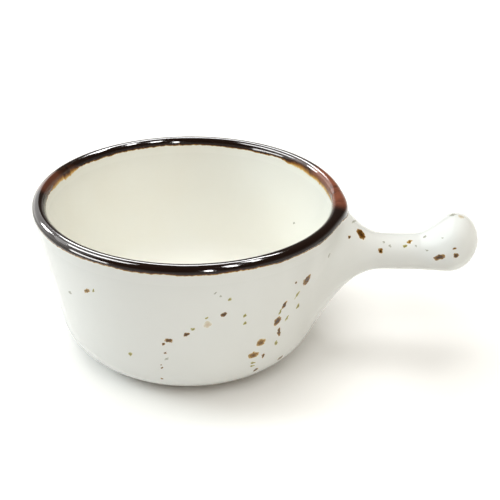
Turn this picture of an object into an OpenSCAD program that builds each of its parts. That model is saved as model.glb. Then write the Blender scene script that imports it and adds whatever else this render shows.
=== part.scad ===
// Stoneware sauce dish with a stick handle. A round bowl stands on a bare foot ring, a handle with
// a flared root and a knob end is joined to its wall with slip, and thin coats of glaze cover the
// inside, the outside, the handle, the recess in the foot and the lip.
// Sizes are in millimetres. The origin is on the bowl's axis, in the plane the dish stands on, and
// the handle points along +X.

/* [Bowl] */
// Diameter of the bare clay across the lip
lip_d = 107.2; // [96:0.2:124]
// Height of the bare clay from the table to the top of the lip
bowl_h = 58.1; // [52:0.1:70]
// Lean of the wall outwards from the vertical, in degrees
wall_lean = 8.8; // [5:0.1:11]
// Thickness of the wall, and of the round lip that ends it
wall_t = 3.6; // [2.8:0.1:5]
// Thickness of the floor
floor_t = 4.5; // [3:0.1:7]
// Outer radius of the turn from the wall to the underside
heel_r = 16.5; // [12:0.5:19]
// Inner radius of the turn from the wall to the floor
inner_heel_r = 13; // [9:0.5:16]

/* [Foot ring] */
// Height of the foot ring, which is also the depth of its recess
foot_h = 2; // [1.2:0.1:4]
// Distance from the start of the heel's turn in to the ring's outer side
foot_inset = 0.6; // [0.3:0.1:8]
// Width of the ring that the dish stands on
foot_w = 4; // [2.5:0.1:6]
// Bevel on both lower edges of the ring
foot_bevel = 0.6; // [0.2:0.1:1]

/* [Handle] */
// Distance from the bowl's axis to the handle's tip
handle_reach = 99.5; // [94:0.1:115]
// Depth of the handle's centre line below the top of the lip, at the lip's outer edge
handle_drop = 18; // [17.4:0.1:22]
// Upward tilt of the handle, in degrees
handle_tilt = 4.6; // [0:0.1:12]
// Lift of the knob's centre above the line of the stem
knob_lift = 4; // [0:0.1:6]
// Diameter of the stem at its thinnest
stem_d = 11.8; // [9:0.1:13]
// Diameter of the knob at its widest
knob_d = 19.7; // [15:0.1:24]
// Length of the knob's rounded end, from its widest place to the tip
knob_cap = 7.8; // [6:0.1:10]
// Length of the swell from the stem to the knob's widest place
knob_swell = 12.2; // [9:0.1:15]
// Length of the flared root, outwards from the lip's outer edge
flare_len = 15; // [13:0.1:18]
// Height that the flare adds over the stem, at the lip's outer edge
flare_over = 10.8; // [8:0.1:11.5]
// Height that the flare adds under the stem, at the lip's outer edge
flare_under = 9; // [5:0.1:9.5]
// Width that the flare adds on each side of the stem, at the lip's outer edge
flare_beside = 5.6; // [3:0.1:6]
// Power that sets how hollow the flare's curve is
flare_power = 2.1; // [2:0.05:2.4]
// Depth inside the lip's outer edge down to which the flare keeps growing
flare_depth = 6.6; // [5:0.1:7]
// Thickness of the joining slip between the handle and the wall
slip_t = 0.8; // [0.5:0.1:1.5]

/* [Glaze] */
// Thickness of every coat of glaze
glaze_t = 0.4; // [0.3:0.05:0.8]
// Depth of the brown band outside the lip, below its top
band_outside = 3; // [2.6:0.1:8]
// Depth of the brown band inside the lip, below its top
band_inside = 3; // [2.6:0.1:8]
// Height of the bare strip between the foot ring and the outer glaze
bare_strip = 1.2; // [0.6:0.1:3]
// Width of the bare strip between the foot ring and the glaze in its recess
recess_margin = 1.5; // [0.8:0.1:4]

/* [Hidden] */
$fn = 96;

// Centre of the lip's round section
lip_r = wall_t / 2;
lip_c = [lip_d / 2 - lip_r, bowl_h - lip_r];

// Direction that points straight out of the leaning wall
out = [cos(wall_lean), -sin(wall_lean)];

// Centres of the turns that join the wall to the underside and to the floor
floor_z = foot_h + floor_t;
heel_c = on_wall(foot_h + heel_r, lip_r - heel_r);
inner_heel_c = on_wall(floor_z + inner_heel_r, -lip_r - inner_heel_r);

// Outer radius of the foot ring
foot_r = heel_c[0] - foot_inset;

// Edges of the glaze coats: heights on the wall, the direction from the heel's centre, and a radius
band_out_z = bowl_h - band_outside;
band_in_z = bowl_h - band_inside;
coat_foot = asin(bare_strip / heel_r - 1);
recess_r = foot_r - foot_w - recess_margin;

// Places along the handle, and the rings that it has between them: inside the wall, over the flare,
// along the stem, up the swell and over the rounded end
start_x = lip_d / 4;
root_x = lip_d / 2 - flare_depth;
flare_x = lip_d / 2 + flare_len;
knob_x = handle_reach - knob_cap;
neck_x = knob_x - knob_swell;
root_rings = 3;
flare_rings = 8;
stem_rings = 2;
swell_rings = 8;
cap_rings = 6;
// Points in each ring
ring_points = 28;
// Turn of the last small ring on the rounded end, in degrees
last_ring = 84;
// Straight pieces in each round turn of the bowl's section
arc_steps = 16;
// Room that a cut needs past the solid it passes through
past = 20;

// Point of the bowl's section at height z, d out from the middle of the leaning wall
function on_wall(z, d) = [lip_c[0] + (d + (z - lip_c[1]) * sin(wall_lean)) / cos(wall_lean), z];

// Points of a round turn from one direction to another, in degrees
function arc(centre, r, from, to) =
    [for (i = [0 : arc_steps])
        let (turn = from + (to - from) * i / arc_steps)
        centre + r * [cos(turn), sin(turn)]];

// Smooth step from 0 to 1
function ease(t) = let (c = max(0, min(1, t))) c * c * (3 - 2 * c);

// How far the stem has swollen into the knob at x, from 0 to 1
function swell(x) = ease((x - neck_x) / knob_swell);

// Height of the handle's centre line above the table
function centre_z(x) =
    bowl_h - handle_drop + (x - lip_d / 2) * tan(handle_tilt) + knob_lift * swell(x);

// Half size of the handle's section at x without its flare
function half_size(x) = stem_d / 2 + (knob_d - stem_d) / 2 * swell(x);

// Share of the flare at a distance from the lip's outer edge, 1 at that edge
function flare_share(d) = pow(max(0, 1 - d / flare_len), flare_power);

// One ring of points across the handle: half its width, and its reach above and below the centre
function ring(x, half_w, up, down) =
    [for (i = [0 : ring_points - 1])
        let (a = 360 * i / ring_points, tall = a < 180 ? up : down)
        [x, half_w * cos(a), centre_z(x) + tall * sin(a)]];

// Even steps from one place to another, without the first
function steps(from, to, n) = [for (i = [1 : n]) from + (to - from) * i / n];

// All rings of the handle, grown outwards by a coat. Inside the wall the flare keeps growing below
// and beside the stem, and falls away above it so that it stays under the lip.
function handle_rings(coat) = concat(
    [for (x = concat([start_x, root_x], steps(root_x, lip_d / 2, root_rings),
                     steps(lip_d / 2, flare_x, flare_rings), steps(flare_x, neck_x, stem_rings),
                     steps(neck_x, knob_x, swell_rings)))
        let (d = x - lip_d / 2,
             half = half_size(x) + coat,
             grown = flare_share(max(d, -flare_depth)))
        ring(x, half + flare_beside * grown, half + flare_over * flare_share(abs(d)),
             half + flare_under * grown)],
    [for (i = [1 : cap_rings])
        let (turn = last_ring * i / cap_rings, half = (knob_d / 2 + coat) * cos(turn))
        ring(knob_x + (knob_cap + coat) * sin(turn), half, half, half)]);

// Closed skin over a list of rings
module sweep(rings) {
    last = len(rings) - 1;
    n = ring_points;
    points = [for (r = rings) each r];
    sides = [for (k = [0 : last - 1], i = [0 : n - 1])
        let (a = k * n + i, b = k * n + (i + 1) % n)
        each [[a, a + n, b], [b, a + n, b + n]]];
    first_end = [for (i = [0 : n - 1]) i];
    last_end = [for (i = [n - 1 : -1 : 0]) last * n + i];
    polyhedron(points, concat(sides, [first_end, last_end]), convexity = 6);
}

// Handle with its root run through the wall, grown outwards by a coat
module handle_form(coat) { sweep(handle_rings(coat)); }

// Area of the section that belongs to the brown band
module band_area() {
    top = bowl_h + past;
    middle = on_wall(band_in_z, 0)[0];
    polygon([[0, band_in_z], [middle, band_in_z], [middle, band_out_z], [lip_d, band_out_z],
             [lip_d, top], [0, top]]);
}

// Everything inside the bowl's outer face, grown outwards by a coat
module bowl_block(coat) {
    rotate_extrude() polygon(concat(
        [[0, foot_h]],
        arc(heel_c, heel_r + coat, -90, -wall_lean),
        arc(lip_c, lip_r + coat, -wall_lean, 180 - wall_lean),
        [[0, lip_c[1]]]));
}

// Part of the handle that stands out of the bare bowl
module handle_outside() {
    difference() {
        handle_form(0);
        bowl_block(0);
    }
}

// Glaze skin round the whole handle, outside the bowl's own coat
module handle_coat() {
    difference() {
        handle_form(glaze_t);
        handle_form(0);
        bowl_block(glaze_t);
    }
}

// Part of the handle's root that the brown band runs over
module band_zone() {
    translate([0, -lip_d / 2, band_out_z]) cube([flare_x, lip_d, past]);
}

module bowl_body() {
    foot_in = foot_r - foot_w;
    color("#d9cfbd") rotate_extrude() polygon(concat(
        [[0, foot_h], [foot_in, foot_h], [foot_in, foot_bevel], [foot_in + foot_bevel, 0],
         [foot_r - foot_bevel, 0], [foot_r, foot_bevel], [foot_r, foot_h]],
        arc(heel_c, heel_r, -90, -wall_lean),
        arc(lip_c, lip_r, -wall_lean, 180 - wall_lean),
        arc(inner_heel_c, inner_heel_r, -wall_lean, -90),
        [[0, floor_z]]));
}

module handle() {
    color("#d9cfbd") difference() {
        handle_form(0);
        bowl_block(slip_t);
    }
}

module handle_slip() {
    color("#cbbfa9") intersection() {
        handle_form(0);
        difference() {
            bowl_block(slip_t);
            bowl_block(0);
        }
    }
}

module inner_glaze() {
    color("#efeadb") rotate_extrude() polygon(concat(
        [[0, floor_z], [0, floor_z + glaze_t]],
        arc(inner_heel_c, inner_heel_r - glaze_t, -90, -wall_lean),
        [on_wall(band_in_z, -lip_r - glaze_t), on_wall(band_in_z, -lip_r)],
        arc(inner_heel_c, inner_heel_r, -wall_lean, -90)));
}

module outer_glaze() {
    color("#e9e9e4") difference() {
        rotate_extrude() difference() {
            polygon(concat(
                arc(heel_c, heel_r + glaze_t, coat_foot, -wall_lean),
                [lip_c + (lip_r + glaze_t) * out, lip_c + lip_r * out],
                arc(heel_c, heel_r, -wall_lean, coat_foot)));
            band_area();
        }
        handle_outside();
    }
}

module handle_glaze() {
    color("#e9e9e4") difference() {
        handle_coat();
        band_zone();
    }
}

module base_glaze() {
    color("#e9e9e4") translate([0, 0, foot_h - glaze_t]) cylinder(h = glaze_t, r = recess_r);
}

module rim_glaze() {
    color("#2b1610") {
        difference() {
            rotate_extrude() intersection() {
                polygon(concat(
                    [heel_c + heel_r * out, heel_c + (heel_r + glaze_t) * out],
                    arc(lip_c, lip_r + glaze_t, -wall_lean, 180 - wall_lean),
                    [inner_heel_c + (inner_heel_r - glaze_t) * out,
                     inner_heel_c + inner_heel_r * out],
                    arc(lip_c, lip_r, 180 - wall_lean, -wall_lean)));
                band_area();
            }
            handle_outside();
        }
        intersection() {
            handle_coat();
            band_zone();
        }
    }
}

bowl_body();
handle();
handle_slip();
inner_glaze();
outer_glaze();
handle_glaze();
base_glaze();
rim_glaze();
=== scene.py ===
# %% [markdown]
# # A stoneware sauce dish
# The dish is one fired piece: a thrown bowl with a stick handle, dipped in white glaze, with a band
# of iron-brown glaze over its lip. The solids give the clay and its sizes. What the eye sees is
# glaze, so this script builds the glaze as thin, seamless coats over the clay, and gives each coat
# its finish.
#

# %% Load the solids
import math
import random

import bmesh
import bpy
from mathutils import Matrix, Quaternion, Vector
from mathutils.bvhtree import BVHTree
from mathutils.kdtree import KDTree


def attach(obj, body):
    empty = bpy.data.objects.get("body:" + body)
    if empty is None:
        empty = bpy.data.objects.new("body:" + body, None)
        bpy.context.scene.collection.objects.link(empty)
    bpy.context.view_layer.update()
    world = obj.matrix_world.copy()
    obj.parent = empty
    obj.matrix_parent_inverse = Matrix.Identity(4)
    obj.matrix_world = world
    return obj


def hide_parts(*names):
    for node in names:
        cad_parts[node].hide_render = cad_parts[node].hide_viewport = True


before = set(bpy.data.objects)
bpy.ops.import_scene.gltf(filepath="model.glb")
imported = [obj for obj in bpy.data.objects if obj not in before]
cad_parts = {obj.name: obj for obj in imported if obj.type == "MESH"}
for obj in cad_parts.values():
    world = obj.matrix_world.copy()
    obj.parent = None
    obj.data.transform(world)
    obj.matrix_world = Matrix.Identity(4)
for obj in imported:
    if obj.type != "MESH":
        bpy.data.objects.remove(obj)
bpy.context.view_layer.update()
print("solids:", ", ".join(sorted(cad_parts)))

# %% [markdown]
# ## Sizes
# The coats lie on the clay, so they repeat its sizes, in millimetres. A point of the bowl's section
# is easiest to give by its height and by its distance from the middle of the leaning wall.

# %% Sizes of the bowl
MM = 0.001
LIP_D = 107.2
BOWL_H = 58.1
LEAN = math.radians(8.8)
LIP_R = 1.8
HEEL_R = 16.5
INNER_HEEL_R = 13.0
FOOT_H = 2.0
FLOOR_Z = 6.5
BARE_STRIP = 1.2
GLAZE_T = 0.4

LIP_X, LIP_Z = LIP_D / 2 - LIP_R, BOWL_H - LIP_R


def on_wall(z, d):
    """Radius at height z, d out from the middle of the leaning wall."""
    return LIP_X + (d + (z - LIP_Z) * math.sin(LEAN)) / math.cos(LEAN)


HEEL_Z = FOOT_H + HEEL_R
HEEL_X = on_wall(HEEL_Z, LIP_R - HEEL_R)
INNER_Z = FLOOR_Z + INNER_HEEL_R
INNER_X = on_wall(INNER_Z, -LIP_R - INNER_HEEL_R)
print(f"heel turns at radius {HEEL_X:.2f} mm, inner heel at {INNER_X:.2f} mm")

# %% [markdown]
# ## Camera
# The camera stands where the photograph was taken from, in front of the dish and above it, with the
# handle to the right. The picture leans a little, so the camera is rolled too. It comes first,
# because some marks and reflections are placed along its lines of sight.

# %% Camera
IMAGE = 500
LENS = 58.29
SENSOR = 36
CAMERA_AT = Vector((53.67, -252.49, 177.87)) * MM
CAMERA_AIM = Vector((21.06, 4.40, 34.40)) * MM
CAMERA_ROLL = math.radians(1.52)

camera = bpy.data.objects.new("camera", bpy.data.cameras.new("camera"))
camera.data.lens = LENS
camera.data.sensor_width = SENSOR
camera.location = CAMERA_AT
camera.rotation_mode = "QUATERNION"
look = (CAMERA_AIM - CAMERA_AT).to_track_quat("-Z", "Y")
camera.rotation_quaternion = look @ Quaternion((0, 0, 1), CAMERA_ROLL)
bpy.context.scene.collection.objects.link(camera)
bpy.context.scene.camera = camera


def line_of_sight(x, y):
    """Direction from the camera through a point of the picture, in pixels from its top left."""
    pixel = SENSOR / IMAGE / LENS
    way = Vector(((x - IMAGE / 2) * pixel, (IMAGE / 2 - y) * pixel, -1))
    return (camera.rotation_quaternion @ way).normalized()


print(f"camera {(CAMERA_AIM - CAMERA_AT).length:.3f} m from the dish")

# %% [markdown]
# ## Section of the glaze skin
# A potter's bowl is a turned form, so it can be drawn as one line and spun. The line could be typed
# as a list of points, but spinning a single vertex about the centre of each turn draws true arcs,
# and extruding it draws the straight walls between them. The line runs from the foot, up the outside,
# over the lip, down the inside and across the floor to the axis.

# %% Draw the section
HEEL_ROWS, WALL_ROWS, LIP_ROWS = 5, 10, 8
INNER_HEEL_ROWS, FLOOR_ROWS = 6, 4
skin = bmesh.new()


def arc(vert, x, z, turn, steps):
    """Spin a vertex round the point (x, z) of the section, and return the arc's last vertex."""
    made = bmesh.ops.spin(skin, geom=[vert], cent=(x * MM, 0, z * MM), axis=(0, -1, 0),
                          angle=turn, steps=steps)
    return made["geom_last"][0]


def straight(vert, x, z, rows):
    """Extrude a vertex in even rows along a straight line to (x, z), and return the last vertex."""
    start, end = vert.co.copy(), Vector((x, 0, z)) * MM
    for row in range(rows):
        vert = bmesh.ops.extrude_vert_indiv(skin, verts=[vert])["verts"][0]
        vert.co = start.lerp(end, (row + 1) / rows)
    return vert


half_wall = LIP_R + GLAZE_T
heel = HEEL_R + GLAZE_T
inner_heel = INNER_HEEL_R - GLAZE_T
foot_turn = math.asin(BARE_STRIP / HEEL_R - 1)
tip = skin.verts.new(((HEEL_X + heel * math.cos(foot_turn)) * MM, 0,
                      (HEEL_Z + heel * math.sin(foot_turn)) * MM))
tip = arc(tip, HEEL_X, HEEL_Z, -LEAN - foot_turn, HEEL_ROWS)
tip = straight(tip, LIP_X + half_wall * math.cos(LEAN), LIP_Z - half_wall * math.sin(LEAN),
               WALL_ROWS)
tip = arc(tip, LIP_X, LIP_Z, math.pi, LIP_ROWS)
tip = straight(tip, INNER_X + inner_heel * math.cos(LEAN), INNER_Z - inner_heel * math.sin(LEAN),
               WALL_ROWS)
tip = arc(tip, INNER_X, INNER_Z, LEAN - math.pi / 2, INNER_HEEL_ROWS)
tip = straight(tip, 0, FLOOR_Z + GLAZE_T, FLOOR_ROWS)
print(f"section of {len(skin.edges)} edges")

# %% [markdown]
# ## Turn the bowl
# One spin about the upright axis makes the whole bowl. A full turn needs use_merge, or the first and
# last columns lie on each other, and the ends on the axis are merged into one point.

# %% Spin the section
COLUMNS = 96
WELD = 0.001
bmesh.ops.spin(skin, geom=skin.verts[:] + skin.edges[:], cent=(0, 0, 0), axis=(0, 0, 1),
               angle=2 * math.pi, steps=COLUMNS, use_merge=True)
bmesh.ops.remove_doubles(skin, verts=skin.verts, dist=WELD * MM)
print(f"turned bowl of {len(skin.faces)} faces")

# %% [markdown]
# ## Open the wall for the handle
# On the real dish the handle is pressed on with slip and its root is smoothed into the wall, so no
# seam shows. A boolean would leave a hard line there. Deleting a window of faces and growing the
# handle out of its edge gives one unbroken skin, and the subdivision then rounds the join.

# %% Cut the window
ROOT_COLUMNS = 5
ROOT_TURN = 2 * math.pi / COLUMNS * ROOT_COLUMNS
WALL_LOW = HEEL_Z - heel * math.sin(LEAN)
WALL_TOP = LIP_Z - half_wall * math.sin(LEAN)
ROW = (WALL_TOP - WALL_LOW) / WALL_ROWS


def in_window(face):
    """Whether a face of the outer wall lies where the handle grows out."""
    place = face.calc_center_median() / MM
    outside = math.hypot(place.x, place.y) > on_wall(place.z, 0)
    beside = abs(math.atan2(place.y, place.x)) < ROOT_TURN
    return outside and beside and WALL_LOW < place.z < WALL_TOP - ROW


window = [face for face in skin.faces if in_window(face)]
bmesh.ops.delete(skin, geom=window, context="FACES")
print(f"window of {len(window)} faces")

# %% [markdown]
# ## Line of the handle
# The handle is a round stick that swells into a knob and flares at its root. Its form is a rule: how
# high its middle lies at a distance x from the bowl's axis, how thick it is there, and how much of
# the flare it has. The same kind of rule shaped the solids. Here the flare is a little fuller.

# %% Form of the handle
HANDLE_REACH = 99.5
HANDLE_DROP = 18.0
HANDLE_TILT = math.radians(4.6)
STEM_D, KNOB_D = 11.8, 19.7
KNOB_CAP, KNOB_SWELL, KNOB_LIFT = 7.8, 12.2, 4.0
FLARE_LEN, FLARE_DEPTH = 15.0, 6.6
OVER_POWER, UNDER_POWER = 2.2, 2.3
FLARE_OVER, FLARE_UNDER, FLARE_BESIDE = 10.4, 9.7, 6.6

LIP_EDGE = LIP_D / 2
KNOB_X = HANDLE_REACH - KNOB_CAP
NECK_X = KNOB_X - KNOB_SWELL
FLARE_X = LIP_EDGE + FLARE_LEN


def ease(share):
    """Smooth step from 0 to 1."""
    share = min(1, max(0, share))
    return share * share * (3 - 2 * share)


def flare_share(d, power):
    """Share of the flare at a distance d from the lip's edge. A high power gives a hollow curve."""
    return max(0, 1 - d / FLARE_LEN) ** power


def handle_point(x, turn):
    """Point of the glazed handle at distance x from the axis, at an angle round its middle."""
    d = x - LIP_EDGE
    swollen = ease((x - NECK_X) / KNOB_SWELL)
    middle = BOWL_H - HANDLE_DROP + d * math.tan(HANDLE_TILT) + KNOB_LIFT * swollen
    half = STEM_D / 2 + (KNOB_D - STEM_D) / 2 * swollen + GLAZE_T
    if x > KNOB_X:
        half *= math.sqrt(max(0, 1 - ((x - KNOB_X) / (KNOB_CAP + GLAZE_T)) ** 2))
    grown = flare_share(max(d, -FLARE_DEPTH), UNDER_POWER)
    over = flare_share(abs(d), OVER_POWER)
    tall = FLARE_OVER * over if math.sin(turn) > 0 else FLARE_UNDER * grown
    return Vector((x, (half + FLARE_BESIDE * grown) * math.cos(turn),
                   middle + (half + tall) * math.sin(turn)))


print(f"handle from the wall to {HANDLE_REACH} mm, neck at {NECK_X:.1f} mm")

# %% [markdown]
# ## Seat the window on the wall
# The window's edge is square, and the handle's root is an egg-shaped line on the round wall. Each
# vertex of the edge moves to that line, which a few steps of trial find. The wall's own vertices
# around it are then relaxed and laid back on the wall, so that the faces stay even.

# %% Shape the window's edge
ROOT_TOP_SHARE = 0.82
ROOT_TRIALS = 40
RELAX_COLUMNS = 4
RELAX_TIMES = 10
RELAX_SHARE = 0.5


def outside_radius(z):
    """Radius of the glazed outside at height z."""
    if z > WALL_LOW:
        return on_wall(z, half_wall)
    return HEEL_X + math.sqrt(heel ** 2 - (HEEL_Z - z) ** 2)


def lay_on_wall(vert):
    """Move a vertex of the skin level to the glazed outside."""
    grow = outside_radius(vert.co.z / MM) * MM / math.hypot(vert.co.x, vert.co.y)
    vert.co.x *= grow
    vert.co.y *= grow


def open_edge_from(start):
    """Vertices of the open edge in order, setting off towards +Y."""
    edge = [start]
    nearby = [e.other_vert(start) for e in start.link_edges if e.is_boundary]
    ahead = max(nearby, key=lambda vert: vert.co.y)
    while ahead is not start:
        edge.append(ahead)
        nearby = [e.other_vert(ahead) for e in ahead.link_edges if e.is_boundary]
        ahead = next(vert for vert in nearby if vert is not edge[-2])
    return edge


def root_point(turn):
    """Point where the handle's rule meets the wall, at an angle round the handle."""
    x = LIP_EDGE
    middle = BOWL_H - HANDLE_DROP
    for trial in range(ROOT_TRIALS):
        place = handle_point(x, turn)
        if place.z > middle:
            place.z = middle + (place.z - middle) * ROOT_TOP_SHARE
        x = math.sqrt(outside_radius(place.z) ** 2 - place.y ** 2)
    return Vector((x, place.y, place.z))


open_verts = {v for e in skin.edges if e.is_boundary for v in e.verts if v.co.z > WALL_LOW * MM / 2}
top = max(open_verts, key=lambda vert: vert.co.z - abs(vert.co.y))
ring = open_edge_from(top)
turns = [math.pi / 2 - 2 * math.pi * i / len(ring) for i in range(len(ring))]
roots = [root_point(turn) for turn in turns]
for vert, place in zip(ring, roots):
    vert.co = place * MM

reach = ROOT_TURN + 2 * math.pi / COLUMNS * RELAX_COLUMNS
around = [v for v in skin.verts if v not in open_verts and v.co.x > 0
          and abs(math.atan2(v.co.y, v.co.x)) < reach
          and WALL_LOW / 2 < v.co.z / MM < WALL_TOP - ROW / 4
          and math.hypot(v.co.x, v.co.y) / MM > on_wall(v.co.z / MM, 0)]
for time in range(RELAX_TIMES):
    bmesh.ops.smooth_vert(skin, verts=around, factor=RELAX_SHARE,
                          use_axis_x=True, use_axis_y=True, use_axis_z=True)
    for vert in around:
        lay_on_wall(vert)
heights = [root.z for root in roots]
print(f"root of {len(ring)} points, {min(heights):.1f} to {max(heights):.1f} mm high")

# %% [markdown]
# ## Grow the handle
# The edge is extruded ring by ring along the handle, and each new ring takes its shape from the rule.
# The first rings fan out from the root's line, and the last one closes to a point at the tip.

# %% Extrude the handle
FLARE_STEPS = (0.12, 0.28, 0.46, 0.66, 0.85, 1.0)
STEM_STEPS = (0.5, 1.0)
SWELL_STEPS = (0.17, 0.34, 0.5, 0.67, 0.84, 1.0)
CAP_TURNS = (18, 36, 53, 68, 80)


def next_ring(ring):
    """Extrude a ring of vertices, and return the new ring in the same order."""
    edges = {e for v in ring for e in v.link_edges if e.is_boundary}
    made = set(bmesh.ops.extrude_edge_only(skin, edges=list(edges))["geom"])
    return [next(e.other_vert(v) for e in v.link_edges if e.other_vert(v) in made) for v in ring]


stations = [[root.x + share * (FLARE_X - root.x) for root in roots] for share in FLARE_STEPS]
stations += [[FLARE_X + share * (NECK_X - FLARE_X)] * len(ring) for share in STEM_STEPS]
stations += [[NECK_X + share * KNOB_SWELL] * len(ring) for share in SWELL_STEPS]
stations += [[KNOB_X + (KNOB_CAP + GLAZE_T) * math.sin(math.radians(turn))] * len(ring)
             for turn in CAP_TURNS]
for station in stations:
    ring = next_ring(ring)
    for vert, x, turn in zip(ring, station, turns):
        vert.co = handle_point(x, turn) * MM
ring = next_ring(ring)
bmesh.ops.pointmerge(skin, verts=ring,
                     merge_co=handle_point(HANDLE_REACH + GLAZE_T, 0) * MM)
print(f"handle of {len(stations)} rings")

# %% [markdown]
# ## Soften the join
# The flare still meets the wall at a crease. Averaging the vertices on both sides of it fills the
# crease with a soft hollow, as a wet sponge does on the clay. A vertex that sinks into the wall is
# laid back on it, so that no clay comes through the glaze.

# %% Smooth the root
SOFTEN_TIMES = 4
SOFTEN_REACH = 9.0
root_line = [root * MM for root in roots]
near_root = [v for v in skin.verts if v.co.x > 0 and v.co.z / MM < WALL_TOP - ROW / 4
             and math.hypot(v.co.x, v.co.y) / MM > on_wall(v.co.z / MM, 0)
             and min((v.co - root).length for root in root_line) < SOFTEN_REACH * MM]
for time in range(SOFTEN_TIMES):
    bmesh.ops.smooth_vert(skin, verts=near_root, factor=RELAX_SHARE,
                          use_axis_x=True, use_axis_y=True, use_axis_z=True)
    for vert in near_root:
        if math.hypot(vert.co.x, vert.co.y) / MM < outside_radius(vert.co.z / MM):
            lay_on_wall(vert)
print(f"softened {len(near_root)} points round the root")

# %% [markdown]
# ## Draw the lip towards the handle
# Where the handle meets the lip, the potter's thumb has drawn the lip's outer edge out a little, so
# the rim has a soft corner there. A falloff over the vertices near it gives that pull.

# %% Pull the lip
PULL = 1.2
PULL_HALF_WIDTH = 9.0
PULL_LOW, PULL_HIGH = 46.0, 56.0
PULL_END = 62.0


def pull_at(place):
    """Distance that a point of the skin is drawn outwards."""
    x, y, z = place / MM
    if x < 0:
        return 0
    outer = ease((math.hypot(x, y) - on_wall(z, 0)) / LIP_R)
    beside = math.exp(-(y / PULL_HALF_WIDTH) ** 2)
    return PULL * outer * beside * ease((z - PULL_LOW) / (PULL_HIGH - PULL_LOW)) \
        * ease((PULL_END - x) / (PULL_END - LIP_EDGE))


pulls = [(vert, pull_at(vert.co)) for vert in skin.verts]
for vert, pull in pulls:
    vert.co.x += pull * MM
print(f"lip drawn out by up to {max(pull for vert, pull in pulls):.2f} mm")

# %% [markdown]
# ## Zones of the coats
# Three glazes share this skin. Each face is marked with the coat it belongs to, as a material number,
# because a subdivision keeps those numbers. The normals are set first, because the way that a face
# looks tells the inside from the outside.

# %% Mark the zones
WHITE, BAND, CREAM = range(3)
BAND_LOW = WALL_TOP - ROW
LEVEL = 0.9
OFF_WALL = 0.2

bmesh.ops.recalc_face_normals(skin, faces=skin.faces)
rightmost = max(skin.faces, key=lambda face: face.calc_center_median().x)
if rightmost.normal.x < 0:
    bmesh.ops.reverse_faces(skin, faces=skin.faces)
zones = {}
for face in skin.faces:
    place = face.calc_center_median()
    away = Vector((place.x, place.y, 0)).normalized()
    inside = face.normal.dot(away) < 0 or face.normal.z > LEVEL
    on_handle = place.x / MM > outside_radius(min(place.z / MM, WALL_TOP)) + OFF_WALL
    if place.z / MM > BAND_LOW and not on_handle:
        zones[face] = BAND
    else:
        zones[face] = CREAM if inside and place.x / MM < LIP_X else WHITE
for face, zone in zones.items():
    face.material_index = zone
    face.smooth = True
print("faces in each zone:", [list(zones.values()).count(zone) for zone in (WHITE, BAND, CREAM)])

# %% [markdown]
# ## Cut the coats
# A subdivision surface rounds the cage once, as a whole, so the coats meet without a step. Each coat
# is then cut out of it and gets its thickness towards the clay. A cut edge would shade as an edge,
# so the outer faces keep the normals that they had on the whole skin.

# %% Subdivide and cut
SMOOTHING = 2
COAT_T = 0.3
whole = bpy.data.meshes.new("skin")
skin.to_mesh(whole)
skin.free()
cage = bpy.data.objects.new("skin", whole)
bpy.context.scene.collection.objects.link(cage)
rounding = cage.modifiers.new("rounding", "SUBSURF")
rounding.levels = rounding.render_levels = SMOOTHING
skin_mesh = bpy.data.meshes.new_from_object(cage.evaluated_get(bpy.context.evaluated_depsgraph_get()))
bpy.data.objects.remove(cage)


def cut_coat(name, zone):
    """Cut one coat out of the skin, thicken it towards the clay and return it as a piece."""
    cut = bmesh.new()
    cut.from_mesh(skin_mesh)
    bmesh.ops.delete(cut, geom=[f for f in cut.faces if f.material_index != zone], context="FACES")
    normals = [vert.normal.copy() for vert in cut.verts]
    for edge in cut.edges:
        edge.smooth = not edge.is_boundary
    for face in cut.faces:
        face.material_index = 0
    outer = len(cut.faces)
    sheet = bpy.data.meshes.new(name)
    cut.to_mesh(sheet)
    cut.free()
    piece = bpy.data.objects.new(name, sheet)
    bpy.context.scene.collection.objects.link(piece)
    thickness = piece.modifiers.new("thickness", "SOLIDIFY")
    thickness.thickness = COAT_T * MM
    thickness.offset = -1
    made = piece.evaluated_get(bpy.context.evaluated_depsgraph_get())
    piece.data = bpy.data.meshes.new_from_object(made)
    piece.modifiers.clear()
    shading = []
    for polygon in piece.data.polygons:
        for corner in polygon.vertices:
            shading.append(normals[corner] if polygon.index < outer else (0, 0, 0))
    piece.data.normals_split_custom_set(shading)
    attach(piece, "root")
    print(f"{name}: {len(piece.data.polygons)} faces")
    return piece


white_coat = cut_coat("white_coat", WHITE)
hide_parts("outer_glaze", "handle_glaze")
iron_band = cut_coat("iron_band", BAND)
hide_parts("rim_glaze")
cream_lining = cut_coat("cream_lining", CREAM)
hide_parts("inner_glaze")

# %% [markdown]
# ## Small tools for finishes
# A finish is a tree of shader nodes. Typing every link out by hand hides what a tree does, so a few
# short functions place a node, feed its inputs and hand back its output. What several glazes share
# goes into node groups, which put out only colours, masks and heights.

# %% Node helpers
def feed(tree, socket, value):
    """Link a socket to another one, or set its value."""
    if isinstance(value, bpy.types.NodeSocket):
        tree.links.new(value, socket)
    else:
        socket.default_value = value


def node(tree, kind, feeds=(), **settings):
    """Add a shader node, with its own settings and with values or links for its inputs."""
    made = tree.nodes.new("ShaderNode" + kind)
    for name, value in settings.items():
        setattr(made, name, value)
    for name, value in dict(feeds).items():
        feed(tree, made.inputs[name], value)
    return made


def calc(tree, operation, *terms):
    """One step of arithmetic on values."""
    made = node(tree, "Math", dict(enumerate(terms)), operation=operation)
    return made.outputs[0]


def vector_calc(tree, operation, *terms):
    """One step of arithmetic on vectors."""
    made = node(tree, "VectorMath", dict(enumerate(terms)), operation=operation)
    return made.outputs["Value" if operation in ("LENGTH", "DISTANCE") else "Vector"]


print("node helpers ready")

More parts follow.
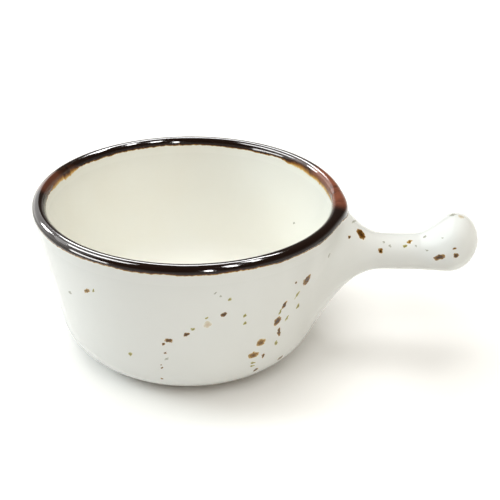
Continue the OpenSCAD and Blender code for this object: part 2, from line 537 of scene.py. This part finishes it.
# %% Masks, noise and colours
def soft_step(tree, value, low, high):
    """0 up to low, 1 from high on, and a smooth rise between them. It falls if low is the larger."""
    ends = {"Value": value, "From Min": min(low, high), "From Max": max(low, high),
            "To Min": float(low > high), "To Max": float(low < high)}
    return node(tree, "MapRange", ends, interpolation_type="SMOOTHSTEP").outputs["Result"]


def noise(tree, vector, size, detail=2.0):
    """Smooth noise from 0 to 1, with lumps of about that size."""
    feeds = {"Vector": vector, "Scale": 1 / size, "Detail": detail}
    return node(tree, "TexNoise", feeds).outputs["Fac"]


def blend(tree, share, first, second):
    """Mix of two colours."""
    made = node(tree, "Mix", {0: share, 6: first, 7: second}, data_type="RGBA")
    return made.outputs[2]


def tones(tree, share, stops):
    """Colour that runs through several tones as the share goes from 0 to 1."""
    made = node(tree, "ValToRGB", {"Fac": share})
    bar = made.color_ramp.elements
    for place, colour in stops[1:-1]:
        bar.new(place)
    for element, (place, colour) in zip(bar, stops):
        element.position = place
        element.color = colour
    return made.outputs["Color"]


print("masks and colours ready")

# %% Groups and finishes
def new_group(name, outputs):
    """A node group that takes a vector, with its tree, that vector and its output sockets."""
    tree = bpy.data.node_groups.new(name, "ShaderNodeTree")
    tree.interface.new_socket("Vector", in_out="INPUT", socket_type="NodeSocketVector")
    for output, kind in outputs.items():
        tree.interface.new_socket(output, in_out="OUTPUT", socket_type="NodeSocket" + kind)
    given = tree.nodes.new("NodeGroupInput").outputs["Vector"]
    return tree, given, tree.nodes.new("NodeGroupOutput").inputs


def use_group(tree, group, vector):
    """Place a node group in a tree, and return its outputs."""
    made = node(tree, "Group", node_tree=group)
    feed(tree, made.inputs["Vector"], vector)
    return made.outputs


def new_finish(name):
    """A material with one Principled shader: the material, its tree, that shader and the place."""
    material = bpy.data.materials.new(name)
    material.use_nodes = True
    tree = material.node_tree
    place = node(tree, "TexCoord").outputs["Object"]
    return material, tree, tree.nodes["Principled BSDF"].inputs, place


print("groups and finishes ready")

# %% [markdown]
# ## Where the camera sees a mark
# The flecks and the glints sit at places that can be read off the photograph. A tree of the skin's
# faces finds the point behind a place of the picture, so a mark lies on the glaze itself and stays
# there from every side.

# %% Points of the skin behind the picture
skin_tree = BVHTree.FromPolygons([v.co for v in skin_mesh.vertices],
                                 [p.vertices for p in skin_mesh.polygons])


def seen(x, y):
    """Point of the skin, and its normal, behind a place of the picture."""
    place, normal, face, distance = skin_tree.ray_cast(CAMERA_AT, line_of_sight(x, y))
    return place, normal


FRONT_OF_LIP = (192, 268)
print("front of the lip:", [round(value / MM, 1) for value in seen(*FRONT_OF_LIP)[0]])

# %% [markdown]
# ## Flecks
# Iron in the glaze burns through the white in flecks: dark brown ones with an amber edge, thin olive
# ones where the glaze has run, and faint grey and tan ones deeper down. A texture would scatter them
# evenly, but on the dish they lie in slanting sprays. So each fleck is a small stretched ball, placed
# by a Mapping node, and noise makes its edge ragged. The lining has one grey speck.

# %% Flecks read from the picture
# Each row is a fleck's middle in pixels, half its length and width there, and its slant in degrees
IRON_FLECKS = (
    (380.5, 251, 3.6, 2.4, 80), (439.4, 257.2, 6.6, 3.2, 20), (454.5, 249, 2.0, 1.5, 0),
    (456, 255.4, 3.0, 2.3, -20), (349.3, 236.9, 1.9, 1.5, 60), (296, 283, 1.6, 1.1, 60),
    (277.6, 321, 6.0, 2.9, 60), (284.5, 305, 5.2, 1.5, 62), (279, 332, 4.4, 1.3, 95),
    (263, 356, 2.8, 1.1, 80), (256, 369.5, 3.2, 1.0, 30), (280, 358, 3.6, 0.9, 35),
    (168.7, 340.4, 4.8, 1.9, 5), (163.7, 344, 2.2, 1.5, 20), (165.8, 353, 1.7, 1.2, 0),
    (161, 365, 1.3, 0.9, 30), (162.4, 368, 1.3, 0.9, 30), (161.8, 378.7, 1.9, 0.8, 0),
    (186.4, 334.6, 3.6, 1.9, 30), (224, 314.4, 3.4, 2.4, 30), (361, 234, 6.8, 3.4, -55),
    (307, 280, 6.8, 2.4, 58))
AMBER_FLECKS = (
    (409.5, 241.7, 3.0, 1.7, 20), (261, 342.5, 5.0, 3.6, 55), (253.5, 355, 5.8, 2.8, 15),
    (87, 291, 2.9, 2.2, 20))
OLIVE_FLECKS = (
    (405, 246, 2.6, 1.5, 10), (297, 295, 5.2, 1.0, 60), (298, 306, 3.2, 1.1, 70),
    (280, 312, 4.2, 1.0, 62), (287, 318, 4.4, 0.9, 60), (276, 343, 2.8, 1.3, 80),
    (253, 362.6, 2.8, 0.9, 10), (252, 366, 2.5, 0.8, 10), (193, 329, 2.6, 1.7, 30),
    (207, 318, 2.3, 1.5, 30), (230, 299.5, 2.4, 1.5, 60), (245, 316, 2.2, 1.5, 60),
    (245, 323, 2.0, 1.3, 60), (130, 354, 2.4, 1.5, -40), (93.5, 291, 1.8, 1.2, 60))
GREY_FLECKS = (
    (427, 250, 1.7, 1.2, 0), (442.6, 237.6, 1.5, 1.1, 0), (383.7, 242, 1.6, 1.1, 0),
    (390, 246, 1.6, 1.1, 0), (416, 246, 1.5, 1.1, 0), (425, 236.5, 1.5, 1.1, 0),
    (452.6, 214.7, 2.2, 1.3, -20), (354.6, 221, 2.0, 1.2, 40), (329.2, 255.3, 2.8, 0.9, 60),
    (221, 296, 1.7, 1.1, 40), (215, 293, 1.7, 1.1, 40), (70, 292.6, 1.7, 1.1, 0),
    (166.4, 359, 2.4, 1.3, 40))
TAN_FLECKS = ((207.6, 324.5, 4.6, 3.4, 30), (461, 216.5, 3.4, 1.4, -15))
LINING_FLECKS = ((294, 223, 1.3, 1.0, 40),)
FLECK_DEPTH = 3.0


def fleck_on_skin(x, y, long, wide, slant):
    """Place, turn and half sizes of a fleck on the skin, from its measures in the picture."""
    middle, normal = seen(x, y)
    run, rise = math.cos(math.radians(slant)), -math.sin(math.radians(slant))
    end = seen(x + long * run, y + long * rise)[0]
    side = seen(x + wide * rise, y - wide * run)[0]
    along = (end - middle).normalized()
    along = (along - normal * along.dot(normal)).normalized()
    turn = Matrix((along, normal.cross(along), normal)).transposed().to_euler()
    return middle, turn, ((end - middle).length, (side - middle).length, FLECK_DEPTH * MM)


seen_flecks = {tone: [fleck_on_skin(*row) for row in rows]
               for tone, rows in (("iron", IRON_FLECKS), ("amber", AMBER_FLECKS),
                                  ("olive", OLIVE_FLECKS), ("grey", GREY_FLECKS),
                                  ("tan", TAN_FLECKS))}
lining_flecks = {"grey": [fleck_on_skin(*row) for row in LINING_FLECKS]}
print("flecks placed:", {tone: len(rows) for tone, rows in seen_flecks.items()})

# %% Flecks on the sides that the picture hides
# Each spray is a heading round the bowl in degrees and a height in millimetres
SPRAYS = ((100, 38), (148, 30), (166, 36), (62, 24))
SPRAY_FLECKS = 9
SPRAY_SPREAD, SPRAY_ASIDE = 11.0, 3
SPRAY_SLANT, SLANT_SPREAD = math.radians(55), 0.25
LONG_LEAST, LONG_MOST = 0.5, 2.0
WIDE_LEAST, WIDE_MOST = 0.25, 0.6
SEED = 12
draw = random.Random(SEED)
hidden_flecks = {"iron": [], "amber": [], "olive": [], "grey": []}
for heading, height in SPRAYS:
    for count in range(SPRAY_FLECKS):
        along = draw.uniform(-1, 1) * SPRAY_SPREAD
        aside = draw.gauss(0, SPRAY_ASIDE)
        z = height + along * math.sin(SPRAY_SLANT) + aside * math.cos(SPRAY_SLANT)
        turn = math.radians(heading) + (along * math.cos(SPRAY_SLANT) - aside) / LIP_EDGE
        out = Vector((math.cos(turn), math.sin(turn), 0))
        middle, normal, face, distance = skin_tree.ray_cast(
            out * LIP_D * MM + Vector((0, 0, z * MM)), -out)
        round_wall = Vector((0, 0, 1)).cross(normal).normalized()
        uphill = normal.cross(round_wall)
        slant = SPRAY_SLANT + draw.gauss(0, SLANT_SPREAD)
        lie = (round_wall * math.cos(slant) + uphill * math.sin(slant)).normalized()
        euler = Matrix((lie, normal.cross(lie), normal)).transposed().to_euler()
        long = draw.uniform(LONG_LEAST, LONG_MOST)
        half = (long * MM, long * draw.uniform(WIDE_LEAST, WIDE_MOST) * MM, FLECK_DEPTH * MM)
        tone = draw.choice(("iron", "amber", "olive", "olive", "grey"))
        hidden_flecks[tone].append((middle, euler, half))
print("flecks out of sight:", sum(len(rows) for rows in hidden_flecks.values()))

# %% Fleck group
RAGGED, RAGGED_SIZE = 1.5, 1.1
MOTTLE, MOTTLE_SIZE = 1.0, 0.7
EDGE_OUT, EDGE_IN = 1.15, 0.8
OUT_OF_REACH = 2.0
# Tones from a fleck's middle, at 0, to its edge, at 1
FLECK_TONES = {
    "grey": ((0.0, (0.33, 0.33, 0.28, 1)), (1.0, (0.55, 0.55, 0.48, 1))),
    "tan": ((0.0, (0.60, 0.46, 0.32, 1)), (1.0, (0.72, 0.69, 0.57, 1))),
    "olive": ((0.0, (0.18, 0.15, 0.03, 1)), (0.7, (0.40, 0.36, 0.12, 1)),
              (1.0, (0.64, 0.61, 0.40, 1))),
    "amber": ((0.0, (0.11, 0.05, 0.006, 1)), (0.55, (0.29, 0.14, 0.022, 1)),
              (0.85, (0.52, 0.35, 0.11, 1)), (1.0, (0.72, 0.62, 0.40, 1))),
    "iron": ((0.0, (0.035, 0.016, 0.002, 1)), (0.5, (0.12, 0.046, 0.005, 1)),
             (0.85, (0.34, 0.18, 0.04, 1)), (1.0, (0.68, 0.54, 0.30, 1)))}


def fleck_group(name, flecks):
    """A group that draws flecks, and puts out their colour and their cover over the glaze."""
    tree, place, result = new_group(name, {"Color": "Color", "Cover": "Float"})
    shift = vector_calc(tree, "SUBTRACT", node(tree, "TexNoise", {
        "Vector": place, "Scale": 1 / (RAGGED_SIZE * MM), "Detail": 2.0}).outputs["Color"],
        (0.5, 0.5, 0.5))
    ragged = node(tree, "VectorMath", {0: shift, 1: (RAGGED * MM,) * 3, 2: place},
                  operation="MULTIPLY_ADD").outputs["Vector"]
    mottle = calc(tree, "SUBTRACT", noise(tree, place, MOTTLE_SIZE * MM), 0.5)
    colour, cover = (1, 1, 1, 1), 0.0
    for tone, stops in FLECK_TONES.items():
        reach = OUT_OF_REACH
        for middle, turn, half in flecks.get(tone, ()):
            inner = node(tree, "Mapping", {"Vector": ragged, "Location": middle, "Rotation": turn,
                                           "Scale": half}, vector_type="TEXTURE").outputs[0]
            reach = calc(tree, "MINIMUM", reach, vector_calc(tree, "LENGTH", inner))
        if reach == OUT_OF_REACH:
            continue
        shown = soft_step(tree, reach, EDGE_OUT, EDGE_IN)
        depth = calc(tree, "MULTIPLY_ADD", mottle, MOTTLE, reach)
        colour = blend(tree, shown, colour, tones(tree, depth, stops))
        cover = calc(tree, "MAXIMUM", cover, shown)
    feed(tree, result["Color"], colour)
    feed(tree, result["Cover"], cover)
    return tree


seen_group = fleck_group("seen_flecks", seen_flecks)
hidden_group = fleck_group("hidden_flecks", hidden_flecks)
lining_group = fleck_group("lining_flecks", lining_flecks)
print(f"fleck groups of {len(seen_group.nodes)} and {len(hidden_group.nodes)} nodes")

# %% [markdown]
# ## Iron band
# The lip is dipped in an iron glaze that is nearly black where it is thick, rusty red where it is
# thin, and amber where it runs out into the white. Its edges waver and drip. One group works this
# out from the place on the dish alone, so the band crosses from one coat to the next without a line.

# %% Band group
# Depths of the edge below the lip's top, and how far and how finely it strays, in millimetres
BAND_OUT, BAND_IN = 2.5, 2.7
WAVER, WAVER_SIZE = 1.2, 13.0
FRAY, FRAY_SIZE = 0.9, 1.7
DRIP, DRIP_SIZE = 1.0, 3.2
DIP, DIP_HALF_WIDTH = 1.3, 11.0
CALM_FRINGE, LIVELY_FRINGE = 0.9, 4.5
SIDE_HALF_WIDTH = 0.5
# Drips are noise that is drawn out upright, between these levels
DRIP_STRETCH = (1.0, 1.0, 0.2)
DRIP_FROM, DRIP_FULL = 0.52, 0.75
# On the handle the band fades between these distances from the axis
BAND_FADE, BAND_END = LIP_EDGE + 4, 62.0
# Shares of the fringe: where the edge lies, and where the cover and the height are full
EDGE_SHARE, COVER_FULL, HEIGHT_FULL = 0.25, 0.14, 0.8
# Middles of the rusty and of the lively stretches in pixels, and their reach in millimetres
RUST_SPOTS = ((336, 190, 16.5), (322, 175, 9.0))
DULL_RUST_SPOTS = ((51, 183, 11.0),)
LIVELY_SPOTS = ((318, 176, 24.0), (62, 176, 12.0))
BAND_TONES = ((0.0, (0.84, 0.74, 0.46, 1)), (0.14, (0.70, 0.43, 0.10, 1)),
              (0.30, (0.30, 0.11, 0.02, 1)), (0.50, (0.050, 0.017, 0.007, 1)),
              (1.0, (0.012, 0.005, 0.003, 1)))
RUST = (0.235, 0.074, 0.04, 1)
RUST_SIZE = 4.0
RUST_FROM, RUST_FULL = 0.1, 0.5
RUST_THIN, RUST_THICK = 0.3, 0.5
DULL_RUST = 0.4


def near_spots(tree, place, spots):
    """1 near the middle of any of these spots of the picture, and 0 beyond their reach."""
    near = 0.0
    for x, y, reach in spots:
        distance = vector_calc(tree, "DISTANCE", place, seen(x, y)[0] / MM)
        near = calc(tree, "MAXIMUM", near, soft_step(tree, distance, reach, reach / 2))
    return near


def band_group():
    """A group that draws the iron band: its colour, its cover and height, and which side is outside."""
    tree, metres, result = new_group("iron_band", {"Color": "Color", "Cover": "Float",
                                                   "Height": "Float", "Outside": "Float"})
    place = vector_calc(tree, "SCALE", metres)
    place.node.inputs["Scale"].default_value = 1 / MM
    split = node(tree, "SeparateXYZ", {"Vector": place}).outputs
    radius = calc(tree, "SQRT", calc(tree, "ADD", calc(tree, "POWER", split["X"], 2.0),
                                     calc(tree, "POWER", split["Y"], 2.0)))
    middle = calc(tree, "MULTIPLY_ADD", split["Z"], math.tan(LEAN), LIP_X - LIP_Z * math.tan(LEAN))
    outside = soft_step(tree, calc(tree, "SUBTRACT", radius, middle),
                        -SIDE_HALF_WIDTH, SIDE_HALF_WIDTH)
    at_handle = calc(tree, "MULTIPLY", soft_step(tree, calc(tree, "ABSOLUTE", split["Y"]),
                                                 DIP_HALF_WIDTH, 0.0),
                     soft_step(tree, split["X"], 0.0, LIP_X))
    lively = near_spots(tree, place, LIVELY_SPOTS)
    edge = calc(tree, "MULTIPLY_ADD", outside, BAND_OUT - BAND_IN, BAND_IN)
    edge = calc(tree, "MULTIPLY_ADD", calc(tree, "MULTIPLY", at_handle, outside), DIP, edge)
    waver = calc(tree, "SUBTRACT", noise(tree, place, WAVER_SIZE, 1.0), 0.5)
    fray = calc(tree, "SUBTRACT", noise(tree, place, FRAY_SIZE, 3.0), 0.5)
    upright = vector_calc(tree, "MULTIPLY", place, DRIP_STRETCH)
    drip = soft_step(tree, noise(tree, upright, DRIP_SIZE, 1.0), DRIP_FROM, DRIP_FULL)
    edge = calc(tree, "MULTIPLY_ADD", waver, WAVER, edge)
    edge = calc(tree, "MULTIPLY_ADD", fray, FRAY, edge)
    edge = calc(tree, "MULTIPLY_ADD", calc(tree, "MULTIPLY", drip, lively), DRIP, edge)
    depth = calc(tree, "SUBTRACT", BOWL_H + GLAZE_T, split["Z"])
    fringe = calc(tree, "MULTIPLY_ADD", lively, LIVELY_FRINGE - CALM_FRINGE, CALM_FRINGE)
    share = calc(tree, "DIVIDE", calc(tree, "SUBTRACT", edge, depth), fringe)
    share = calc(tree, "MULTIPLY", calc(tree, "ADD", share, EDGE_SHARE),
                 soft_step(tree, radius, BAND_END, BAND_FADE))
    thick = tones(tree, share, BAND_TONES)
    rust = calc(tree, "MULTIPLY_ADD", near_spots(tree, place, DULL_RUST_SPOTS), DULL_RUST,
                near_spots(tree, place, RUST_SPOTS))
    patches = soft_step(tree, noise(tree, place, RUST_SIZE, 3.0), RUST_FROM, RUST_FULL)
    rust = calc(tree, "MULTIPLY", rust, patches)
    rust = calc(tree, "MULTIPLY", rust, soft_step(tree, share, RUST_THIN, RUST_THICK))
    feed(tree, result["Color"], blend(tree, rust, thick, RUST))
    feed(tree, result["Cover"], soft_step(tree, share, 0.0, COVER_FULL))
    feed(tree, result["Height"], soft_step(tree, share, 0.0, HEIGHT_FULL))
    feed(tree, result["Outside"], outside)
    return tree


iron_band_group = band_group()
print(f"band group of {len(iron_band_group.nodes)} nodes")

# %% [markdown]
# ## Ripple of the glaze
# A fired glaze is glossy but not flat: it lies in slow waves over the throwing marks, and in a fine
# skin like orange peel. Both are heights for a Bump node, because they are far thinner than a face
# of the mesh. A third, slower noise clouds the ground colour a little.

# %% Ripple group
WAVE_SIZE, PEEL_SIZE, CLOUD_SIZE = 16.0, 1.8, 22.0
PEEL_SHARE = 0.12
ripple_group, place, result = new_group("glaze_ripple", {"Height": "Float", "Cloud": "Float"})
wave = noise(ripple_group, place, WAVE_SIZE * MM, 1.0)
peel = noise(ripple_group, place, PEEL_SIZE * MM, 2.0)
feed(ripple_group, result["Height"], calc(ripple_group, "MULTIPLY_ADD", peel, PEEL_SHARE, wave))
feed(ripple_group, result["Cloud"], noise(ripple_group, place, CLOUD_SIZE * MM, 3.0))
print("ripple group ready")

# %% [markdown]
# ## The three glazes
# White outside, cream inside and iron on the lip are glossy glass over clay. Each coat gets its own
# ground colour, and the band and the flecks lie on that ground wherever they reach. The iron coat
# mirrors a little less than the others, as its dark face shows.

# %% Glaze finishes
GLOSS = 0.13
BAND_GLOSS = 0.08
BAND_IOR = 1.35
RIPPLE_RISE = 0.10
BAND_RISE = 0.25
WHITE_GROUND = ((0.762, 0.768, 0.745, 1), (0.806, 0.808, 0.784, 1))
CREAM_GROUND = ((0.885, 0.866, 0.795, 1), (0.895, 0.898, 0.855, 1))


def glaze_finish(name, ground, flecked=None, outer_ground=None):
    """A glossy glaze on its ground colour, or on two, with the band and perhaps flecks over it."""
    finish, tree, shader, place = new_finish(name)
    ripple = use_group(tree, ripple_group, place)
    band = use_group(tree, iron_band_group, place)
    colour = blend(tree, ripple["Cloud"], *ground)
    if outer_ground:
        outer = blend(tree, ripple["Cloud"], *outer_ground)
        colour = blend(tree, band["Outside"], colour, outer)
    if flecked:
        marks = use_group(tree, flecked, place)
        colour = blend(tree, marks["Cover"], colour, marks["Color"])
    feed(tree, shader["Base Color"], blend(tree, band["Cover"], colour, band["Color"]))
    gloss = node(tree, "MapRange", {"Value": band["Cover"], "To Min": GLOSS, "To Max": BAND_GLOSS})
    feed(tree, shader["Roughness"], gloss.outputs[0])
    ripples = node(tree, "Bump", {"Height": ripple["Height"], "Distance": RIPPLE_RISE * MM})
    relief = node(tree, "Bump", {"Height": band["Height"], "Distance": BAND_RISE * MM,
                                 "Normal": ripples.outputs[0]})
    feed(tree, shader["Normal"], relief.outputs[0])
    return finish


white_glaze = glaze_finish("white_glaze", WHITE_GROUND, seen_group)
white_glaze_behind = glaze_finish("white_glaze_behind", WHITE_GROUND, hidden_group)
cream_glaze = glaze_finish("cream_glaze", CREAM_GROUND, lining_group)
iron_glaze = glaze_finish("iron_glaze", CREAM_GROUND, outer_ground=WHITE_GROUND)
iron_glaze.node_tree.nodes["Principled BSDF"].inputs["IOR"].default_value = BAND_IOR
cream_lining.data.materials.append(cream_glaze)
iron_band.data.materials.append(iron_glaze)
print("three glazes")

# %% [markdown]
# ## Two halves of the white coat
# One shader can hold only so many flecks, so the white coat has two finishes that differ in nothing
# else. Each face takes the one whose flecks lie nearest, and the line between them runs through plain
# white, where it can't be seen.

# %% Share out the white coat
nearest = KDTree(sum(len(rows) for side in (seen_flecks, hidden_flecks) for rows in side.values()))
for number, side in enumerate((seen_flecks, hidden_flecks)):
    for rows in side.values():
        for middle, turn, half in rows:
            nearest.insert(middle, number)
nearest.balance()
white_coat.data.materials.append(white_glaze)
white_coat.data.materials.append(white_glaze_behind)
for polygon in white_coat.data.polygons:
    polygon.material_index = nearest.find(polygon.center)[1]
print("faces behind:", sum(polygon.material_index for polygon in white_coat.data.polygons))

# %% [markdown]
# ## Bare clay
# The foot ring is left bare, so that the dish doesn't stick to the kiln shelf. Stoneware there is
# buff, matt and grainy, but its two tones are painted darker than that buff, as painted shade, so
# that the bare foot reads as the dark contact shade under the heel. The slip between the bowl and
# the handle is the same clay, only smoother. The disc inside the foot is glazed white.

# %% Clay finishes
# The stoneware tones are the clay's buff painted darker, as painted shade for the contact line under
# the heel
STONEWARE_AND_SHADE = ((0.46, 0.375, 0.265, 1), (0.33, 0.255, 0.17, 1))
SLIP = ((0.62, 0.53, 0.40, 1), (0.50, 0.41, 0.30, 1))
SPECK = (0.18, 0.12, 0.075, 1)
SPECK_FROM, SPECK_FULL = 0.68, 0.74
GRAIN_RISE = 0.15


def clay_finish(name, pale, dark, grain, roughness):
    """Matt fired clay, with grains of that size."""
    finish, tree, shader, place = new_finish(name)
    mottle = noise(tree, place, grain * MM, 4.0)
    specks = soft_step(tree, noise(tree, place, grain * MM / 2, 1.0), SPECK_FROM, SPECK_FULL)
    colour = blend(tree, mottle, pale, dark)
    feed(tree, shader["Base Color"], blend(tree, specks, colour, SPECK))
    feed(tree, shader["Roughness"], roughness)
    bump = node(tree, "Bump", {"Height": mottle, "Distance": GRAIN_RISE * MM})
    feed(tree, shader["Normal"], bump.outputs[0])
    return finish


stoneware = clay_finish("stoneware", *STONEWARE_AND_SHADE, grain=1.2, roughness=0.85)
slip = clay_finish("joining_slip", *SLIP, grain=0.6, roughness=0.75)
for name, finish in (("bowl_body", stoneware), ("handle", stoneware), ("handle_slip", slip),
                     ("base_glaze", white_glaze)):
    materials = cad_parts[name].data.materials
    materials.clear()
    materials.append(finish)
print("clay finishes on", ", ".join(("bowl_body", "handle", "handle_slip")))

# %% [markdown]
# ## Floor, light and surroundings
# The dish stands on a plain white table. A broad soft lamp overhead is the main light, weaker lamps
# stand at both sides and in front, and the surroundings fill the shadows. The lamp at the left is a
# little cool and the one at the right a little warm, as the two sides of the bowl show. To the camera,
# the table is almost pure white, so that its shadow stays and the rest of it reads as background.

# %% Floor
FLOOR_HALF = 1.4
FLOOR_GLOW = 0.045
PAPER = ((0.86, 0.85, 0.83, 1), (0.88, 0.87, 0.85, 1))
PAPER_SIZE = 0.4
PAPER_ROUGHNESS = 0.8
SHOWN_PAPER = (1.0, 0.99, 0.975, 1)
ground = bmesh.new()
bmesh.ops.create_grid(ground, x_segments=1, y_segments=1, size=FLOOR_HALF)
floor_mesh = bpy.data.meshes.new("floor")
ground.to_mesh(floor_mesh)
ground.free()
floor = bpy.data.objects.new("floor", floor_mesh)
bpy.context.scene.collection.objects.link(floor)


def direct_rays(tree):
    """1 for rays that show the background: from the camera, or by way of gloss or glass."""
    path = node(tree, "LightPath").outputs
    return calc(tree, "MAXIMUM", path["Is Camera Ray"],
                calc(tree, "MAXIMUM", path["Is Glossy Ray"], path["Is Transmission Ray"]))


table, tree, shader, place = new_finish("white_table")
paper = blend(tree, noise(tree, place, PAPER_SIZE, 1.0), *PAPER)
feed(tree, shader["Base Color"], blend(tree, direct_rays(tree), paper, SHOWN_PAPER))
feed(tree, shader["Roughness"], PAPER_ROUGHNESS)
feed(tree, shader["Emission Color"], (1, 1, 1, 1))
glow = calc(tree, "MULTIPLY", direct_rays(tree), FLOOR_GLOW)
feed(tree, shader["Emission Strength"], glow)
floor.data.materials.append(table)
print("floor of", 2 * FLOOR_HALF, "m")

# %% Surroundings
FILL_FROM, FILL_HIGH = 0.25, 0.75
FILL_TINT = (1.0, 0.955, 0.87, 1)
GLOSS_HIGH = 0.10
# Heights on the sky between which what gloss mirrors falls from white to that grey
GLOSS_FROM, GLOSS_TO = 0.02, 0.3
world = bpy.data.worlds.new("studio")
bpy.context.scene.world = world
world.use_nodes = True
tree = world.node_tree
sky = node(tree, "SeparateXYZ", {"Vector": node(tree, "TexCoord").outputs["Generated"]})
height = sky.outputs["Z"]
fill = node(tree, "MapRange", {"Value": height, "From Min": FILL_FROM,
                               "To Max": FILL_HIGH}).outputs[0]
gloss = node(tree, "MapRange", {"Value": soft_step(tree, height, GLOSS_FROM, GLOSS_TO),
                                "To Min": 1.0, "To Max": GLOSS_HIGH}).outputs[0]
path = node(tree, "LightPath").outputs
shown = calc(tree, "MAXIMUM", path["Is Camera Ray"], path["Is Transmission Ray"])
strength = calc(tree, "MULTIPLY_ADD", calc(tree, "SUBTRACT", gloss, fill),
                path["Is Glossy Ray"], fill)
strength = calc(tree, "MAXIMUM", strength, shown)
feed(tree, tree.nodes["Background"].inputs["Color"], blend(tree, shown, FILL_TINT, (1, 1, 1, 1)))
feed(tree, tree.nodes["Background"].inputs["Strength"], strength)
bpy.context.scene.view_settings.view_transform = "Standard"
print("surroundings fill the shadows with", FILL_HIGH, "overhead")

# %% Lamps
# Each row is a lamp's name, its place and size in metres, its power in watts and its tint
LAMPS = (
    ("main_lamp", (-0.2, 0.2, 3.0), (2.0, 1.4), 42, (0.985, 1.0, 0.99)),
    ("left_lamp", (-2.6, 0.0, 1.5), (1.4, 1.4), 40, (0.84, 0.965, 1.0)),
    ("right_lamp", (2.4, -0.9, 1.0), (1.4, 1.4), 12, (1.0, 0.94, 0.76)),
    ("front_lamp", (0.0, -1.7, 2.4), (1.4, 1.4), 18, (1.0, 1.0, 1.0)))


def area_lamp(name, size, energy):
    """An oblong lamp of a width and a height, not yet placed."""
    made = bpy.data.objects.new(name, bpy.data.lights.new(name, "AREA"))
    made.data.shape = "RECTANGLE"
    made.data.size, made.data.size_y = size
    made.data.energy = energy
    made.rotation_mode = "QUATERNION"
    bpy.context.scene.collection.objects.link(made)
    return made


for name, place, size, energy, tint in LAMPS:
    made = area_lamp(name, size, energy)
    made.data.color = tint
    made.location = place
    made.rotation_quaternion = (CAMERA_AIM - made.location).to_track_quat("-Z", "Y")
    made.visible_glossy = False
print("lamps placed:", len(LAMPS))

# %% [markdown]
# ## Glints
# In the photograph, bright panes are mirrored along the lip as short white dashes and long stripes,
# and as a dim sheen at its left front. A lamp shows in a glossy surface where the surface looks halfway
# between the lamp and the eye, so the lamp's place is found backwards: from a dash in the picture to
# the lip, and on along the mirrored line of sight. The lip is round, so each pane shows a second time,
# on the side across. Light linking keeps these panes on the band alone, and they give no diffuse
# light, so they add glints and change no colour. One broad, dim pane is left unlinked. It lays a sheen
# on the top of the handle.

# %% Panes
PANE_AWAY = 1.0
# Power that gives a square metre of lamp a brightness of 1
WATTS_PER_GLOW = 4


def pane(x, y, wide, tall, glow):
    """A lamp that is mirrored at a place of the picture."""
    place, normal = seen(x, y)
    ahead = line_of_sight(x, y).reflect(normal)
    along = Vector((-place.y, place.x, 0)).normalized()
    along = (along - ahead * along.dot(ahead)).normalized()
    made = area_lamp("pane", (wide, tall), WATTS_PER_GLOW * glow * wide * tall)
    made.location = place + ahead * PANE_AWAY
    facing = Matrix((along, ahead.cross(along), ahead)).transposed()
    made.rotation_quaternion = facing.to_quaternion()
    made.visible_diffuse = False
    return made


print("panes stand", PANE_AWAY, "m from the lip")

# %% Glints on the band
# Each row is a glint in pixels, its pane's width along the lip and height in metres, and its glow
BAND_PANES = (
    (100.5, 151.4, 0.06, 0.40, 60), (132, 144.1, 0.08, 0.42, 60), (155, 142.0, 0.10, 0.4, 60),
    (175.5, 142.0, 0.08, 0.34, 60), (196, 138.0, 0.10, 0.08, 18),
    (270, 147.3, 0.60, 0.26, 26), (270, 149.6, 0.60, 0.26, 32), (268, 151.8, 0.50, 0.26, 26),
    (312, 168.6, 0.16, 0.20, 60),
    (60, 240, 0.2, 0.6, 4), (100, 256.5, 0.16, 0.4, 6))
lit_band = bpy.data.collections.new("lit_band")
lit_band.objects.link(iron_band)
for row in BAND_PANES:
    pane(*row).light_linking.receiver_collection = lit_band
print("panes for the band:", len(BAND_PANES))

# %% Sheen on the white
SHEEN_PANE = (430, 238, 1.6, 1.2, 1.8)
pane(*SHEEN_PANE)
print("pane for the white, glow", SHEEN_PANE[-1])
